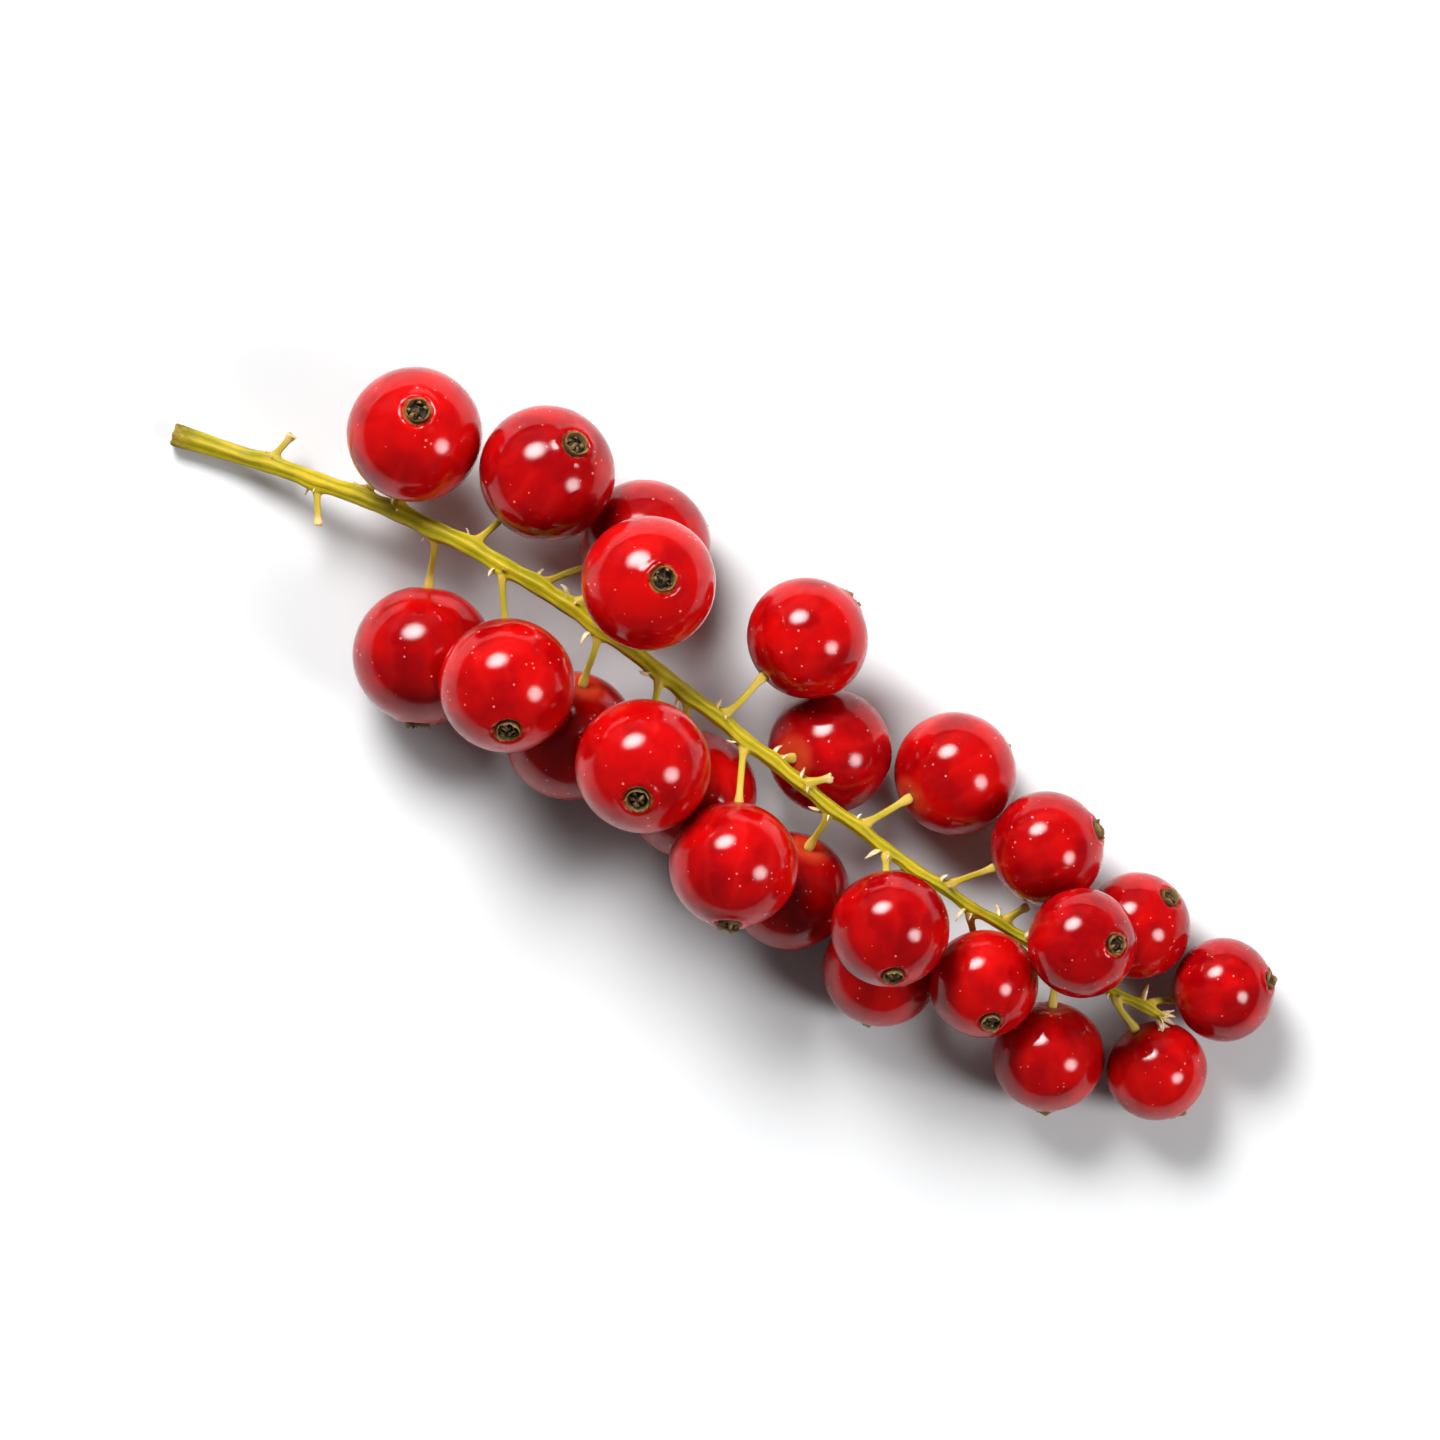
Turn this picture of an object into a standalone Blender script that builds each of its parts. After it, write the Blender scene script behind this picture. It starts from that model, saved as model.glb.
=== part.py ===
"""Sprig of redcurrants, as picked and laid down: one green stalk, its berries, and the dried flower in each berry's end.

Metres, +Z up. The stalk runs along X with its cut end at -X, and the sprig rests on z = 0.
The origin is under the middle of the whole sprig.
"""

import math

import bmesh
import bpy
import numpy as np
from mathutils import Vector

MM = 0.001
UP = np.array([0.0, 0.0, 1.0])

# The stalk: a bare length from the cut end, then the length that carries berries, ending in a small dead bud.
CUT_END_X = -42.4 * MM
CUT_END_Y = -2.2 * MM
STALK_SPAN = 79 * MM
STALK_BOW = 2.6 * MM
STALK_SWAY = 1.7 * MM
CUT_END_RADIUS = 0.82 * MM
NECK_RADIUS = 0.62 * MM
TIP_RADIUS = 0.32 * MM
CUT_END_HEIGHT = 0.9 * MM
RIDGE_HEIGHT = 9.4 * MM
TIP_HEIGHT = 5.4 * MM
RISE_ENDS = 0.36
FALL_STARTS = 0.5
FLARE_ENDS = 0.07
TAPER_STARTS = 0.15

# The short side stalks leave it in a spiral. Most carry a berry, and a few have dropped theirs.
SHOOTS = 29
BARE_SHOOTS = (0, 1, 2, 10, 16, 23)
FIRST_SHOOT = 0.085
LAST_SHOOT = 0.98
SHOOT_CROWDING = 0.9
SPIRAL_TURN = math.radians(137.5)
SPIRAL_START = math.radians(-60)
NEAREST_TO_TOP = math.radians(38)
FURTHEST_ROUND = math.radians(128)
SHOOT_LEAN = math.radians(28)
SHOOT_LENGTH = (5.2 * MM, 3.4 * MM)
SHOOT_SPREAD = 0.12
BARE_SHARE = 0.62
BARE_DROOP = 0.25
CURVE_REACH = 0.42
SHOOT_RADIUS = 0.28 * MM
ROOT_SWELL = 1.3
NECK_SWELL = 1.15
KNOB_RADIUS = 0.42 * MM

# The berries shrink from the cut end to the tip, and are a touch shorter than they are wide.
BERRY_RADIUS = (4.75 * MM, 3.55 * MM)
BERRY_TAPER = 1.4
BERRY_SPREAD = 0.05
BERRY_LENGTH_SHARE = 0.97
MOST_LIFT = math.radians(48)
STEEPEST = math.radians(84)

# Each berry's two ends, as shares of its radius: a dimple at the side stalk, and a lipped pit round the dried flower.
DIMPLE_RADIUS = 0.20
DIMPLE_FLOOR = 0.935
PIT_RADIUS = 0.195
PIT_FLOOR = 0.86
FLOWER_RIM = 0.09
FLOWER_TOP = 0.115
FLOWER_HOLLOW = 0.045
FLOWER_LOBES = 5
LOBE_NOTCH = 0.8

# Clearances between separate pieces.
GAP = 0.1 * MM
BERRY_GAP = 0.15 * MM

# Settling: how hard each step draws a berry to where it grew, how far it sinks, and how many steps there are.
GROWTH_PULL = 0.02
SINK = 0.1 * MM
SETTLING_STEPS = 300
CLEARING_STEPS = 120

# How finely the faceted solids follow the round shapes.
STALK_SIDES = 12
STALK_RINGS = 30
SHOOT_SIDES = 7
SHOOT_RINGS = 6
BERRY_SIDES = 24
BERRY_ARC_STEPS = 9
LINE_SAMPLES = 90
PATH_SAMPLES = 7
SHARP_EDGE = math.radians(35)


def smooth(value):
    """0 below 0, 1 above 1, and an easy curve between."""
    value = min(max(value, 0.0), 1.0)
    return value * value * (3 - 2 * value)


def unit(vector):
    return vector / np.linalg.norm(vector)


def between(pair, share):
    return pair[0] + (pair[1] - pair[0]) * share


def steady_noise(index, salt):
    """A number from 0 to 1 that looks random and is the same each run."""
    value = math.sin(index * 12.9898 + salt * 78.233) * 43758.5453
    return value - math.floor(value)


# ---------------------------------------------------------------- the stalk's line


def stalk_point(t):
    """The stalk's centreline, from the cut end at t = 0 to the tip at t = 1."""
    rise = (RIDGE_HEIGHT - CUT_END_HEIGHT) * smooth(t / RISE_ENDS)
    fall = (RIDGE_HEIGHT - TIP_HEIGHT) * smooth((t - FALL_STARTS) / (1 - FALL_STARTS))
    bend = STALK_BOW * math.sin(math.pi * t) + STALK_SWAY * math.sin(2 * math.pi * t)
    return np.array([CUT_END_X + STALK_SPAN * t, CUT_END_Y + bend, CUT_END_HEIGHT + rise - fall])


def stalk_radius(t):
    """Widest at the cut end, even along the bare length, finer towards the tip."""
    flare = (CUT_END_RADIUS - NECK_RADIUS) * (1 - smooth(t / FLARE_ENDS))
    taper = (NECK_RADIUS - TIP_RADIUS) * smooth((t - TAPER_STARTS) / (1 - TAPER_STARTS))
    return NECK_RADIUS + flare - taper


def stalk_axes(t):
    """The stalk's direction, its side and its upper side at t."""
    step = 0.001
    along = unit(stalk_point(t + step) - stalk_point(t - step))
    side = unit(np.cross(along, UP))
    return along, side, np.cross(side, along)


# ---------------------------------------------------------------- side stalks and where the berries hang


class Shoot:
    """One side stalk: where it leaves the stalk, which way it starts, how long it is, and the berry it carries."""

    def __init__(self, index):
        share = index / (SHOOTS - 1)
        t = between((FIRST_SHOOT, LAST_SHOOT), share**SHOOT_CROWDING)
        self.bare = index in BARE_SHOOTS
        self.root = stalk_point(t)
        turn = (SPIRAL_START + SPIRAL_TURN * index + math.pi) % (2 * math.pi) - math.pi
        # None starts straight up, where others would cover the stalk, or straight down, where the ground is.
        out = between((NEAREST_TO_TOP, FURTHEST_ROUND), abs(turn) / math.pi)
        out = math.copysign(out, turn)
        along, side, top = stalk_axes(t)
        across = math.cos(out) * top + math.sin(out) * side
        self.start = unit(math.cos(SHOOT_LEAN) * across + math.sin(SHOOT_LEAN) * along)
        self.length = between(SHOOT_LENGTH, share) * (1 + SHOOT_SPREAD * (2 * steady_noise(index, 1) - 1))
        if self.bare:
            self.length *= BARE_SHARE
        size = between(BERRY_RADIUS, share**BERRY_TAPER)
        self.berry_radius = size * (1 + BERRY_SPREAD * (2 * steady_noise(index, 2) - 1))
        self.lift = MOST_LIFT * smooth(1.6 * steady_noise(index, 3) - 0.6)
        self.centre = self.root + self.start * (self.length + self.berry_radius)

    def berry_axis(self):
        """From the berry's stalk end to its flower end: away from the stalk, tipped upwards by its own amount."""
        out = unit(self.centre - self.root)
        level = math.hypot(out[0], out[1])
        height = min(math.atan2(out[2], level) + self.lift, STEEPEST)
        flat = np.array([out[0], out[1], 0.0]) / level
        return math.cos(height) * flat + math.sin(height) * UP

    def end(self):
        """Where the side stalk stops: a hair short of the berry's dimple, or drooping where the berry has dropped."""
        if self.bare:
            return self.root + self.length * (self.start - BARE_DROOP * UP)
        return self.centre - self.berry_axis() * (DIMPLE_FLOOR * self.berry_radius + GAP)

    def path(self, count):
        """Points along the side stalk's curve, from inside the stalk to its end."""
        end = self.end()
        arrive = unit(end - self.root) if self.bare else self.berry_axis()
        reach = np.linalg.norm(end - self.root) * CURVE_REACH
        first = self.root + self.start * reach
        last = end - arrive * reach
        points = []
        for step in range(count):
            u = step / (count - 1)
            v = 1 - u
            points.append(v**3 * self.root + 3 * v * v * u * first + 3 * v * u * u * last + u**3 * end)
        return np.array(points)


def push_out(centre, point, distance):
    """Moves centre straight away from point until it is that far off."""
    apart = centre - point
    length = np.linalg.norm(apart)
    return centre if length >= distance else point + apart * (distance / length)


def part_pair(first, second):
    """Moves two berries that press together apart by equal amounts."""
    apart = second.centre - first.centre
    length = np.linalg.norm(apart)
    short = first.berry_radius + second.berry_radius + BERRY_GAP - length
    if short > 0:
        first.centre = first.centre - apart * (0.5 * short / length)
        second.centre = second.centre + apart * (0.5 * short / length)


def settle(shoots):
    """Lets the berries come to rest: held by their side stalks, clear of each other, of the stalk and of the ground."""
    holding = [shoot for shoot in shoots if not shoot.bare]
    grown = [shoot.centre.copy() for shoot in holding]
    line = [k / LINE_SAMPLES for k in range(LINE_SAMPLES + 1)]
    line = [(stalk_point(t), stalk_radius(t)) for t in line]
    for step in range(SETTLING_STEPS + CLEARING_STEPS):
        for shoot, home in zip(holding, grown):
            if step < SETTLING_STEPS:
                shoot.centre = shoot.centre + GROWTH_PULL * (home - shoot.centre) - SINK * UP
            reach = shoot.end() - shoot.root
            length = np.linalg.norm(reach)
            if length > shoot.length:
                shoot.centre = shoot.centre - reach * (1 - shoot.length / length)
        for index, first in enumerate(holding):
            for second in holding[index + 1 :]:
                part_pair(first, second)
        paths = [(shoot, shoot.path(PATH_SAMPLES)[1:]) for shoot in shoots]
        for shoot in holding:
            for point, radius in line:
                shoot.centre = push_out(shoot.centre, point, shoot.berry_radius + radius + BERRY_GAP)
            for owner, path in paths:
                for point in path if owner is not shoot else []:
                    room = shoot.berry_radius + KNOB_RADIUS + BERRY_GAP
                    shoot.centre = push_out(shoot.centre, point, room)
            shoot.centre[2] = max(shoot.centre[2], shoot.berry_radius)


# ---------------------------------------------------------------- meshes


def finished_mesh(name, made):
    bmesh.ops.recalc_face_normals(made, faces=made.faces)
    mesh = bpy.data.meshes.new(name)
    made.to_mesh(mesh)
    made.free()
    return mesh


def ring_of(made, centre, along, radius, sides):
    """A ring of vertices round a line."""
    helper = UP if abs(along[2]) < 0.9 else np.array([1.0, 0.0, 0.0])
    side = unit(np.cross(along, helper))
    top = np.cross(side, along)
    turns = [2 * math.pi * k / sides for k in range(sides)]
    return [made.verts.new(centre + radius * (math.cos(a) * side + math.sin(a) * top)) for a in turns]


def add_tube(made, points, radii, sides):
    """A closed tube along the points, with its own radius at each."""
    rings = []
    for index, point in enumerate(points):
        before = points[max(index - 1, 0)]
        after = points[min(index + 1, len(points) - 1)]
        rings.append(ring_of(made, point, unit(after - before), radii[index], sides))
    for lower, upper in zip(rings, rings[1:]):
        for k in range(sides):
            m = (k + 1) % sides
            made.faces.new((lower[k], lower[m], upper[m], upper[k]))
    made.faces.new(rings[0][::-1])
    made.faces.new(rings[-1])


def stalk_mesh():
    """The main stalk: flared where it broke from the branch, and fine at the tip."""
    made = bmesh.new()
    steps = [k / (STALK_RINGS - 1) for k in range(STALK_RINGS)]
    add_tube(made, [stalk_point(t) for t in steps], [stalk_radius(t) for t in steps], STALK_SIDES)
    return finished_mesh("stalk", made)


def shoots_mesh(shoots):
    """Every side stalk, each a tube that starts inside the stalk and ends in a knob."""
    made = bmesh.new()
    for shoot in shoots:
        radii = [SHOOT_RADIUS] * SHOOT_RINGS
        radii[0] *= ROOT_SWELL
        radii[-2] *= NECK_SWELL
        radii[-1] = KNOB_RADIUS
        add_tube(made, shoot.path(SHOOT_RINGS), radii, SHOOT_SIDES)
    return finished_mesh("shoots", made)


def turned_mesh(name, profile, sides, reach_at=lambda row, side: 1.0):
    """A closed solid turned round +Z from (radius, height) points that start and end on the axis."""
    made = bmesh.new()
    first = made.verts.new((0, 0, profile[0][1]))
    last = made.verts.new((0, 0, profile[-1][1]))
    rings = []
    for row, (radius, height) in enumerate(profile[1:-1]):
        ring = []
        for k in range(sides):
            angle = 2 * math.pi * k / sides
            reach = radius * reach_at(row, k)
            ring.append(made.verts.new((reach * math.cos(angle), reach * math.sin(angle), height)))
        rings.append(ring)
    for k in range(sides):
        m = (k + 1) % sides
        made.faces.new((first, rings[0][m], rings[0][k]))
        made.faces.new((last, rings[-1][k], rings[-1][m]))
        for lower, upper in zip(rings, rings[1:]):
            made.faces.new((lower[k], lower[m], upper[m], upper[k]))
    return finished_mesh(name, made)


def berry_mesh(radius):
    """A round berry with a dimple at its stalk end and a lipped pit at its flower end."""
    start = math.asin(DIMPLE_RADIUS)
    stop = math.pi - math.asin(PIT_RADIUS + 0.055)
    profile = [(0, -DIMPLE_FLOOR), (0.6 * DIMPLE_RADIUS, -DIMPLE_FLOOR - 0.005)]
    for step in range(BERRY_ARC_STEPS + 1):
        angle = start + (stop - start) * step / BERRY_ARC_STEPS
        profile.append((math.sin(angle), -BERRY_LENGTH_SHARE * math.cos(angle)))
    profile += [(PIT_RADIUS + 0.015, 0.96), (PIT_RADIUS - 0.02, PIT_FLOOR), (0, PIT_FLOOR)]
    return turned_mesh("berry", [(r * radius, h * radius) for r, h in profile], BERRY_SIDES)


def dried_flower_mesh(radius):
    """The withered flower: a ragged plug of curled lobes that sits in the berry's pit."""
    floor = PIT_FLOOR * radius + GAP
    inside = PIT_RADIUS * radius
    profile = [
        (0, floor),
        (0.70 * inside, floor),
        (0.86 * inside, floor + FLOWER_RIM * radius),
        (0.62 * inside, floor + FLOWER_TOP * radius),
        (0, floor + FLOWER_HOLLOW * radius),
    ]

    def lobed(row, side):
        return LOBE_NOTCH if row and side % 2 else 1.0

    return turned_mesh("dried_flower", profile, 2 * FLOWER_LOBES, lobed)


# ---------------------------------------------------------------- the sprig


def material(name, colour, roughness):
    made = bpy.data.materials.new(name)
    made.use_nodes = True
    shader = made.node_tree.nodes["Principled BSDF"]
    shader.inputs["Base Color"].default_value = (*colour, 1.0)
    shader.inputs["Roughness"].default_value = roughness
    shader.inputs["Metallic"].default_value = 0.0
    return made


def add_object(name, mesh, surface, parent):
    mesh.materials.append(surface)
    mesh.shade_smooth()
    mesh.set_sharp_from_angle(angle=SHARP_EDGE)
    made = bpy.data.objects.new(name, mesh)
    made.parent = parent
    bpy.context.scene.collection.objects.link(made)
    return made


def place(made, shoot):
    """Puts a turned piece at its berry's centre, with its axis from stalk end to flower end."""
    made.location = Vector(shoot.centre)
    made.rotation_mode = "QUATERNION"
    made.rotation_quaternion = Vector(shoot.berry_axis()).to_track_quat("Z", "Y")


def add_stalk(shoots, surface, parent):
    """The stalk and its side stalks grew as one piece, so they are joined into one solid."""
    branches = add_object("shoots_to_join", shoots_mesh(shoots), surface, parent)
    branches.hide_render = True
    branches.display_type = "WIRE"
    stalk = add_object("stalk", stalk_mesh(), surface, parent)
    join = stalk.modifiers.new("join_shoots", "BOOLEAN")
    join.operation = "UNION"
    join.solver = "EXACT"
    join.object = branches


def main():
    for old in list(bpy.data.objects):
        bpy.data.objects.remove(old)
    sprig = bpy.data.objects.new("sprig", None)
    bpy.context.scene.collection.objects.link(sprig)

    green = material("stalk_green", (0.42, 0.36, 0.045), 0.45)
    red = material("berry_red", (0.50, 0.004, 0.006), 0.12)
    brown = material("dried_brown", (0.10, 0.045, 0.012), 0.85)

    shoots = [Shoot(index) for index in range(SHOOTS)]
    settle(shoots)
    add_stalk(shoots, green, sprig)
    holding = [shoot for shoot in shoots if not shoot.bare]
    for number, shoot in enumerate(holding, 1):
        berry = add_object(f"berry_{number:02d}", berry_mesh(shoot.berry_radius), red, sprig)
        flower = add_object(f"dried_flower_{number:02d}", dried_flower_mesh(shoot.berry_radius), brown, sprig)
        place(berry, shoot)
        place(flower, shoot)


main()
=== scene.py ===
"""Sprig of redcurrants on a pale table: glossy berries on a thin green stalk, each with its dried flower."""

import math

import bpy
import numpy as np
from mathutils import Matrix, Vector


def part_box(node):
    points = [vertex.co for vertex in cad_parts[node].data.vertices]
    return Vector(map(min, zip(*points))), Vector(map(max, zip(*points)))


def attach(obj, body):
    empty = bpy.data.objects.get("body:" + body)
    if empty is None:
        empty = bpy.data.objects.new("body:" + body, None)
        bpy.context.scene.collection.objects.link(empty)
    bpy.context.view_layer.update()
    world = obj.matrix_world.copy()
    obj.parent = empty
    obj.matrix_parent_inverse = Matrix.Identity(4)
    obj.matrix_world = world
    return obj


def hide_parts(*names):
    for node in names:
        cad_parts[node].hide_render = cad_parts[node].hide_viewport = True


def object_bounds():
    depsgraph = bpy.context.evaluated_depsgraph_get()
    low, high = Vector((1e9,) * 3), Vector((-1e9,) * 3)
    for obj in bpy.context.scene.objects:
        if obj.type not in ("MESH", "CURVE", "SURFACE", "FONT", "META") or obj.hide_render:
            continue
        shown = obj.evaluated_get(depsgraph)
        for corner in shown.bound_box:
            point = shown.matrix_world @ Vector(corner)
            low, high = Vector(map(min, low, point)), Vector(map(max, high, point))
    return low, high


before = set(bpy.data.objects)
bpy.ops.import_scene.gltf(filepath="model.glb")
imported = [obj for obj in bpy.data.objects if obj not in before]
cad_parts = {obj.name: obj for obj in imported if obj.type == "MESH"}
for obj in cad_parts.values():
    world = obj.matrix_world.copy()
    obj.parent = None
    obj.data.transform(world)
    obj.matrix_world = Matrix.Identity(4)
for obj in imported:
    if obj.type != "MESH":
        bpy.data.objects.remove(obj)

cad_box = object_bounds()

# ---------------------------------------------------------------- table, light and camera
# The sprig lies on a plain pale table. As seen from above, a broad soft lamp stands behind it, a weaker one
# to its right and a white board low behind. The camera looks straight down, and the stalk runs from upper
# left to lower right.

MM = 0.001
STALK_ACROSS_VIEW = math.radians(30.5)
VIEW_WIDTH = 98 * MM
CAMERA_HEIGHT = 0.7
SENSOR_WIDTH = 36.0
LAMP_RIM = 0.5
LAMP_CORE = 0.14
LAMP_CORE_SHINE = 2.6
SKY_COLOUR = (0.95, 0.97, 1.0, 1.0)
SKY_STRENGTH = 0.10
TABLE_COLOUR = (0.60, 0.60, 0.60, 1.0)
TABLE_REACH = 3.0

view_right = Vector((math.cos(STALK_ACROSS_VIEW), math.sin(STALK_ACROSS_VIEW), 0.0))
view_up = Vector((-math.sin(STALK_ACROSS_VIEW), math.cos(STALK_ACROSS_VIEW), 0.0))
middle = (Vector(cad_box[0]) + Vector(cad_box[1])) / 2


def fade_to_rim(lamp):
    """Makes a lamp brightest in its middle and fades it out to its rim, as a lamp behind a cloth is."""
    lamp.use_nodes = True
    tree = lamp.node_tree
    away = tree.nodes.new("ShaderNodeVectorMath")
    away.operation = "DISTANCE"
    away.inputs[1].default_value = (0.5, 0.5, 0.0)
    shine = tree.nodes.new("ShaderNodeMapRange")
    shine.interpolation_type = "SMOOTHSTEP"
    shine.inputs["From Min"].default_value = LAMP_RIM
    shine.inputs["From Max"].default_value = LAMP_CORE
    shine.inputs["To Min"].default_value = 0.0
    shine.inputs["To Max"].default_value = LAMP_CORE_SHINE
    tree.links.new(tree.nodes.new("ShaderNodeNewGeometry").outputs["Parametric"], away.inputs[0])
    tree.links.new(away.outputs["Value"], shine.inputs["Value"])
    tree.links.new(shine.outputs["Result"], tree.nodes["Emission"].inputs["Strength"])


def add_lamp(name, direction, distance, size, power, colour, shape="ELLIPSE"):
    """A soft lamp that points at the sprig. direction is how far right, up and high it stands in the view."""
    lamp = bpy.data.lights.new(name, "AREA")
    lamp.shape = shape
    lamp.size, lamp.size_y = size
    lamp.energy = power
    lamp.color = colour
    if shape == "ELLIPSE":
        fade_to_rim(lamp)
    right, up, height = direction
    toward = (view_right * right + view_up * up + Vector((0, 0, height))).normalized()
    across = toward.cross(Vector((0, 0, 1))).normalized()
    turn = Matrix((across, toward.cross(across), toward)).transposed()
    made = bpy.data.objects.new(name, lamp)
    made.matrix_world = Matrix.Translation(middle + toward * distance) @ turn.to_4x4()
    bpy.context.scene.collection.objects.link(made)


add_lamp("soft_lamp_behind", (-0.26, 0.65, 0.715), 0.5, (0.40, 0.30), 4.4, (0.98, 0.99, 1.0))
add_lamp("soft_lamp_right", (0.72, -0.27, 0.635), 0.5, (0.27, 0.30), 1.8, (0.97, 0.985, 1.0))
add_lamp("white_board_behind", (-0.25, 0.9, 0.36), 0.9, (1.3, 0.42), 0.45, (0.95, 0.97, 1.0), "RECTANGLE")

sky = bpy.data.worlds.new("pale_room")
sky.use_nodes = True
sky_shine = sky.node_tree.nodes["Background"].inputs
sky_shine["Color"].default_value = SKY_COLOUR
sky_shine["Strength"].default_value = SKY_STRENGTH
bpy.context.scene.world = sky
bpy.context.scene.view_settings.view_transform = "Standard"

table_finish = bpy.data.materials.new("pale_table")
table_finish.use_nodes = True
table_look = table_finish.node_tree.nodes["Principled BSDF"].inputs
table_look["Base Color"].default_value = TABLE_COLOUR
table_look["Roughness"].default_value = 0.9
table_look["Specular IOR Level"].default_value = 0.1
table_mesh = bpy.data.meshes.new("table")
corners = [(x * TABLE_REACH, y * TABLE_REACH, 0) for x, y in ((-1, -1), (1, -1), (1, 1), (-1, 1))]
table_mesh.from_pydata(corners, [], [(0, 1, 2, 3)])
table_mesh.materials.append(table_finish)
table = bpy.data.objects.new("table", table_mesh)
bpy.context.scene.collection.objects.link(table)

camera = bpy.data.cameras.new("camera_above")
camera.sensor_width = SENSOR_WIDTH
camera.lens = SENSOR_WIDTH * (CAMERA_HEIGHT - middle.z) / VIEW_WIDTH
camera.clip_start = 0.01
camera_above = bpy.data.objects.new("camera_above", camera)
camera_above.location = (middle.x, middle.y, CAMERA_HEIGHT)
camera_above.rotation_euler = (0, 0, STALK_ACROSS_VIEW)
bpy.context.scene.collection.objects.link(camera_above)
bpy.context.scene.camera = camera_above

# ---------------------------------------------------------------- berries
# Each berry is a thin, tight, glossy skin full of red juice and pale seeds. It grew whole, with a small
# dimple where its side stalk holds it, faint lines from end to end in the skin, and a lipped pit where the
# flower was.

BERRY_SEGMENTS = 96
BERRY_RINGS = 72
BERRY_LENGTH_SHARE = 0.97
POLE_CROWDING = 0.55
PIT_ANGLE = math.radians(11.5)
PIT_EDGE = math.radians(2.6)
PIT_DEPTH = 0.11
LIP_ANGLE = math.radians(15.5)
LIP_WIDTH = math.radians(4.2)
LIP_HEIGHT = 0.022
DIMPLE_ANGLE = math.radians(9)
DIMPLE_EDGE = math.radians(9)
DIMPLE_DEPTH = 0.05
BERRY_COUNT = sum(name.startswith("berry_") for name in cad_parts)
CORK_WIDTH = (math.radians(0.4), math.radians(2.0))
PALE_END_ANGLE = (math.radians(8), math.radians(26))
SKIN_ROUGHNESS = (0.07, 0.15)
JUICE_GLOW = (1.0, 0.08, 0.05)
JUICE_DEPTH = 3.6 * MM
DEEP_RED = (0.23, 0.0006, 0.0020, 1.0)
BRIGHT_RED = (0.44, 0.0022, 0.0022, 1.0)
LINE_RED = (0.78, 0.02, 0.012, 1.0)
SPOT_AND_GLINT_PINK = (0.88, 0.30, 0.24, 1.0)
CORK_TAN = (0.36, 0.13, 0.035, 1.0)
STALK_END_RED = (0.70, 0.10, 0.03, 1.0)


class Wiring:
    """Wires a node tree: most calls add a node, join or set its inputs, and give back one of its outputs."""

    def __init__(self, tree):
        self.tree = tree

    def add(self, kind, inputs=(), out=0, **settings):
        node = self.tree.nodes.new(kind)
        for name, value in settings.items():
            setattr(node, name, value)
        self.give(node, inputs)
        return node.outputs[out]

    def give(self, node, inputs):
        """Joins or sets a node's inputs, named or in order. None leaves one as it is."""
        for key, value in inputs.items() if isinstance(inputs, dict) else enumerate(inputs):
            if isinstance(value, bpy.types.NodeSocket):
                self.tree.links.new(value, node.inputs[key])
            elif value is not None:
                node.inputs[key].default_value = value

    def sum(self, operation, *values):
        return self.add("ShaderNodeMath", values, operation=operation)

    def vector(self, operation, *values, out=0):
        return self.add("ShaderNodeVectorMath", values, operation=operation, out=out)

    def ease(self, value, low, high, start=0.0, end=1.0):
        """start where value is low, end where it is high, and an easy curve between."""
        return self.add("ShaderNodeMapRange", (value, low, high, start, end), interpolation_type="SMOOTHSTEP")

    def fact(self, name, kind="FLOAT"):
        """A named value that the geometry carries at each point."""
        return self.add("GeometryNodeInputNamedAttribute", {"Name": name}, data_type=kind)

    def store(self, geometry, name, value, kind="FLOAT", domain="POINT"):
        given = {"Geometry": geometry, "Name": name, "Value": value}
        return self.add("GeometryNodeStoreNamedAttribute", given, data_type=kind, domain=domain)

    def facing(self, upwards, back):
        """The turn that takes +Z to upwards and +Y as near as it can to back."""
        return self.add("FunctionNodeAxesToRotation", (upwards, back), primary_axis="Z", secondary_axis="Y")

    def close(self, geometry, finish=None):
        """Ends a geometry tree with its instances made real and its material set."""
        geometry = self.add("GeometryNodeRealizeInstances", (geometry,))
        if finish:
            geometry = self.add("GeometryNodeSetMaterial", {"Geometry": geometry, "Material": finish})
        self.tree.links.new(geometry, self.tree.nodes.new("NodeGroupOutput").inputs[0])

    def blend(self, factor, first, second):
        """A colour between two others."""
        node = self.tree.nodes.new("ShaderNodeMix")
        node.data_type = "RGBA"
        self.give(node, {0: factor, 6: first, 7: second})
        return node.outputs[2]


def new_finish(name):
    """A new material. Gives it, its wiring and its shader."""
    finish = bpy.data.materials.new(name)
    finish.use_nodes = True
    return finish, Wiring(finish.node_tree), finish.node_tree.nodes["Principled BSDF"]


def shape_tree(name, sizes):
    """An empty geometry tree with a named input for each size. Gives (tree, wiring, the group's inputs)."""
    tree = bpy.data.node_groups.new(name, "GeometryNodeTree")
    tree.interface.new_socket("Geometry", in_out="INPUT", socket_type="NodeSocketGeometry")
    for size, start in sizes.items():
        kind = "NodeSocketInt" if isinstance(start, int) else "NodeSocketFloat"
        socket = tree.interface.new_socket(size, in_out="INPUT", socket_type=kind)
        socket.default_value = start
    tree.interface.new_socket("Geometry", in_out="OUTPUT", socket_type="NodeSocketGeometry")
    return tree, Wiring(tree), tree.nodes.new("NodeGroupInput").outputs


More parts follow.
